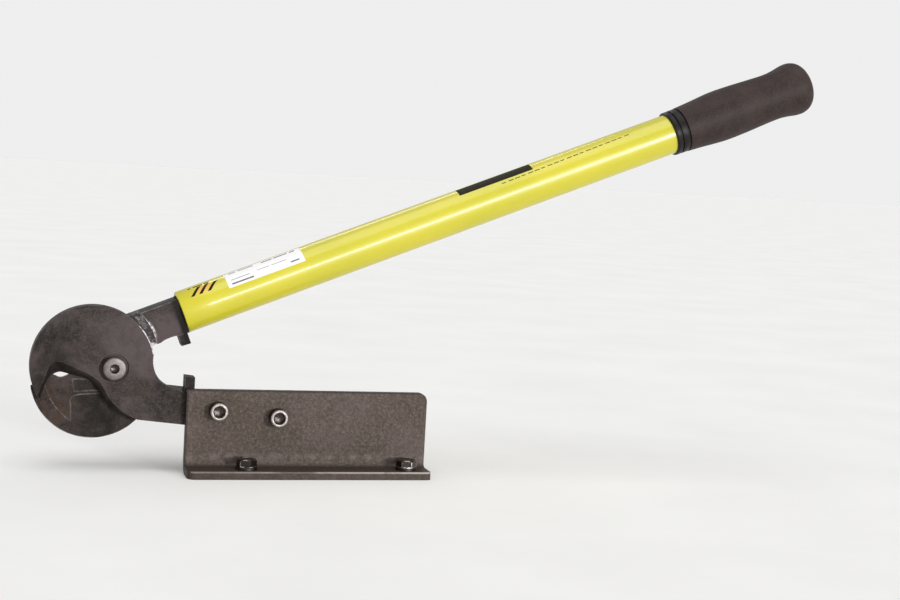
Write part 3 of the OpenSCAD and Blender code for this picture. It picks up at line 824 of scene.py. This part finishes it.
def make_collar():
    """Two rings with a groove between them at the foot of the grip."""
    r = radius_at("grip_collar", collar_end)
    inside = TUBE_RADIUS + 0.03 * MM
    length = collar_end - collar_start
    profile = [(inside, 0), (r - 0.75 * MM, 0), (r - 0.2 * MM, 0.06), (r - 0.1 * MM, 0.14),
               (r - 0.1 * MM, 0.30), (r - 0.3 * MM, 0.35), (r - 1.2 * MM, 0.37),
               (r - 1.2 * MM, 0.44), (r - 0.2 * MM, 0.46), (r, 0.51), (r, 0.88),
               (r - 0.25 * MM, 0.92), (r - 1.1 * MM, 0.94), (r - 1.1 * MM, 1), (inside, 1)]
    rings = [handle_ring(radius, collar_start + share * length) for radius, share in profile]
    piece = add_piece("grip_collar_ringed", skin("grip_collar_ringed", rings + [rings[0]], False),
                      MATERIALS["collar_rubber"], "handle", "collar_rubber")
    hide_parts("grip_collar")


make_tube()
make_collar()
finished("handle_grip", 0.3 * MM)


# ---- film on the tube ----

FILM_ROW_LENGTH = 6 * MM
FILM_COLUMN_ANGLE = 4
FILM_ROOT = 0.05 * MM  # how far a film's underside lies below its lift, so that no gap shows
BAR_LIFT = 0.08 * MM


def tube_film(name, u0, u1, a0, a1, material, lean=0.0, thickness=0.12 * MM, lift=0.0):
    """Curved film on the tube between two places along it and two angles up from the front.

    Angles are in degrees. The lean is how much further along the tube the top edge starts.
    """
    rows = max(2, round((u1 - u0) / FILM_ROW_LENGTH) + 1)
    columns = max(4, round((a1 - a0) / FILM_COLUMN_ANGLE) + 1)
    shell = bmesh.new()
    layers = []
    for height in (-FILM_ROOT, thickness):
        layer = []
        for i in range(rows):
            row = []
            for j in range(columns):
                share = j / (columns - 1)
                a = math.radians(a0 + (a1 - a0) * share)
                u = u0 + (u1 - u0) * i / (rows - 1) + lean * share
                out = -math.cos(a) * TO_BACK + math.sin(a) * ACROSS
                point = HANDLE_AXIS_START + u * ALONG + (TUBE_RADIUS + lift + height) * out
                row.append(shell.verts.new(point))
            layer.append(row)
        layers.append(layer)
    for i in range(rows - 1):
        for j in range(columns - 1):
            for layer in layers:
                shell.faces.new((layer[i][j], layer[i + 1][j],
                                 layer[i + 1][j + 1], layer[i][j + 1]))
    low, high = layers
    for i in range(rows - 1):
        for j in (0, columns - 1):
            shell.faces.new((low[i][j], low[i + 1][j], high[i + 1][j], high[i][j]))
    for j in range(columns - 1):
        for i in (0, rows - 1):
            shell.faces.new((low[i][j], low[i][j + 1], high[i][j + 1], high[i][j]))
    bmesh.ops.recalc_face_normals(shell, faces=shell.faces)
    mesh = bpy.data.meshes.new(name)
    shell.to_mesh(mesh)
    shell.free()
    return add_piece(name, mesh, material, "handle", "tube_paint")


def film_row(name, pieces, low, high, material, lift=0.0):
    """Several films in one row: each piece is a start and an end along the handle, in mm."""
    for k, (u0, u1) in enumerate(pieces):
        tube_film(f"{name}_{k + 1}", u0 * MM, u1 * MM, low, high, material, lift=lift)


# Plain shapes in place of the print: stripes at the jaw end, a label with bars, a block and dashes
STRIPE_WIDTH = 2.9
tube_film("hazard_patch", 76.5 * MM, 91 * MM, 42, 64, PRINT_ORANGE, lean=7 * MM,
          thickness=0.08 * MM)
for i, start in enumerate((74.6, 81.2, 88.4)):
    tube_film(f"hazard_stripe_{i + 1}", start * MM, (start + STRIPE_WIDTH) * MM, 38, 65,
              PRINT_BLACK, lean=7.6 * MM, lift=0.06 * MM)
film_row("hazard_line", ((74.5, 77), (79, 86.5), (88, 92)), 69, 73, PRINT_BLACK)
tube_film("label", 105 * MM, 169.5 * MM, 24, 82, LABEL_WHITE)
film_row("label_bar_a", ((109, 114.5), (117, 129.5)), 70, 77, LABEL_GREY, BAR_LIFT)
film_row("label_bar_b", ((108.6, 124.5),), 43.5, 46.5, LABEL_GREY, BAR_LIFT)
film_row("label_bar_c", ((108.3, 126.5),), 30.5, 35, LABEL_DARK, BAR_LIFT)
film_row("label_bar_d", ((136.7, 145.5), (147, 158.5), (160.5, 165)), 70, 75, LABEL_DARK,
         BAR_LIFT)
film_row("label_bar_e", ((130.6, 141), (143, 156)), 46, 48.5, LABEL_GREY, BAR_LIFT)
film_row("label_bar_f", ((158, 165.5),), 33, 37, LABEL_DARK, BAR_LIFT)
tube_film("print_block", 308.5 * MM, 375 * MM, 50, 84, PRINT_BLACK)
LINE_START, LINE_STEP, LINE_COUNT = 345.2, 6.05, 20
LINE_LOW, LINE_CLIMB, LINE_HEIGHT = 38.3, 0.52, 2.6
LINE_GAP, LINE_WIDE_GAP = 1.5, 2.6
for i in range(LINE_COUNT):
    start = LINE_START + LINE_STEP * i
    low = LINE_LOW + LINE_CLIMB * i
    length = LINE_STEP - (LINE_GAP if i % 3 else LINE_WIDE_GAP)
    tube_film(f"print_line_{i + 1}", start * MM, (start + length) * MM, low, low + LINE_HEIGHT,
              PRINT_LINE)


# ---- camera, light and floor ----

# The photo's camera, fitted to the outlines
CAMERA_PLACE = (-0.2940, -1.3053, 0.2508)
CAMERA_RIGHT = Vector((0.9582, -0.2805, 0.0560))
CAMERA_UP = Vector((-0.0318, 0.0899, 0.9955))
CAMERA_LENS = 67.6
CAMERA_SENSOR = 36
CAMERA_NEAR = 0.01


def make_camera():
    data = bpy.data.cameras.new("camera")
    data.lens = CAMERA_LENS
    data.sensor_width = CAMERA_SENSOR
    data.clip_start = CAMERA_NEAR
    camera = bpy.data.objects.new("camera", data)
    bpy.context.scene.collection.objects.link(camera)
    back = CAMERA_RIGHT.cross(CAMERA_UP).normalized()
    up = back.cross(CAMERA_RIGHT).normalized()
    turn = Matrix((CAMERA_RIGHT.normalized(), up, back)).transposed()
    camera.matrix_world = Matrix.Translation(CAMERA_PLACE) @ turn.to_4x4()
    bpy.context.scene.camera = camera


FLOOR_REACH = 30


def make_floor():
    """Flat floor at the height of the bench top, for the renders only."""
    mesh = bpy.data.meshes.new("floor")
    side = FLOOR_REACH
    corners = [(-side, -side, 0), (side, -side, 0), (side, side, 0), (-side, side, 0)]
    mesh.from_pydata(corners, [], [(0, 1, 2, 3)])
    mesh.materials.append(floor_paper())
    floor = bpy.data.objects.new("floor", mesh)
    bpy.context.scene.collection.objects.link(floor)


BACKDROP_LIGHT = 0.86
OVERHEAD_LIGHT = 0.46
FADE_FROM = 0.2  # height in the sky, from 0 at the horizon to 1 overhead
FADE_TO = 0.65


def make_world():
    """Pale studio: bright near the horizon, dimmer overhead."""
    world = bpy.data.worlds.new("studio")
    world.use_nodes = True
    nodes = world.node_tree.nodes
    links = world.node_tree.links
    parts = nodes.new("ShaderNodeSeparateXYZ")
    links.new(nodes.new("ShaderNodeTexCoord").outputs["Generated"], parts.inputs[0])
    fade = nodes.new("ShaderNodeMapRange")
    fade.clamp = True
    for socket, value in (("From Min", FADE_FROM), ("From Max", FADE_TO),
                          ("To Min", BACKDROP_LIGHT), ("To Max", OVERHEAD_LIGHT)):
        fade.inputs[socket].default_value = value
    links.new(parts.outputs["Z"], fade.inputs["Value"])
    background = nodes["Background"]
    background.inputs["Color"].default_value = (1, 1, 1, 1)
    links.new(fade.outputs["Result"], background.inputs["Strength"])
    bpy.context.scene.world = world
    bpy.context.scene.view_settings.view_transform = "Standard"


def sun_light(name, place, target, spread, power):
    """Light from one direction, with soft shadows that grow with the spread in degrees."""
    data = bpy.data.lights.new(name, "SUN")
    data.angle = math.radians(spread)
    data.energy = power
    lamp = bpy.data.objects.new(name, data)
    lamp.rotation_euler = (Vector(target) - Vector(place)).to_track_quat("-Z", "Y").to_euler()
    bpy.context.scene.collection.objects.link(lamp)


STRIP_LENGTH = 0.95
STRIP_PLACE = 0.70
STRIP_DISTANCE = 2.04
STRIP_SPREAD = 75


def strip_light(name, angle, width, power):
    """Long thin light parallel to the handle, seen in glossy surfaces only.

    It gives the tube a bright streak. The angle is up from the front, in degrees.
    """
    data = bpy.data.lights.new(name, "AREA")
    data.shape = "RECTANGLE"
    data.size, data.size_y = STRIP_LENGTH, width
    data.energy = power
    data.spread = math.radians(STRIP_SPREAD)
    lamp = bpy.data.objects.new(name, data)
    lamp.visible_diffuse = False
    up = math.radians(angle)
    out = math.sin(up) * ACROSS - math.cos(up) * TO_BACK
    turn = Matrix((ALONG, out.cross(ALONG), out)).transposed()
    place = HANDLE_AXIS_START + STRIP_PLACE * ALONG + STRIP_DISTANCE * out
    lamp.matrix_world = Matrix.Translation(place) @ turn.to_4x4()
    bpy.context.scene.collection.objects.link(lamp)


make_camera()
sun_light("key", place=(1.05, -2.0, 0.34), target=(0.05, 0, 0.12), spread=9, power=1.85)
strip_light("front_strip", angle=-3.3, width=0.10, power=3.6)
strip_light("top_strip", angle=132, width=0.10, power=1.2)
sun_light("floor_wash", place=(0, -0.4, 2.6), target=(0, 0.3, 0), spread=50, power=1.3)
make_floor()
make_world()
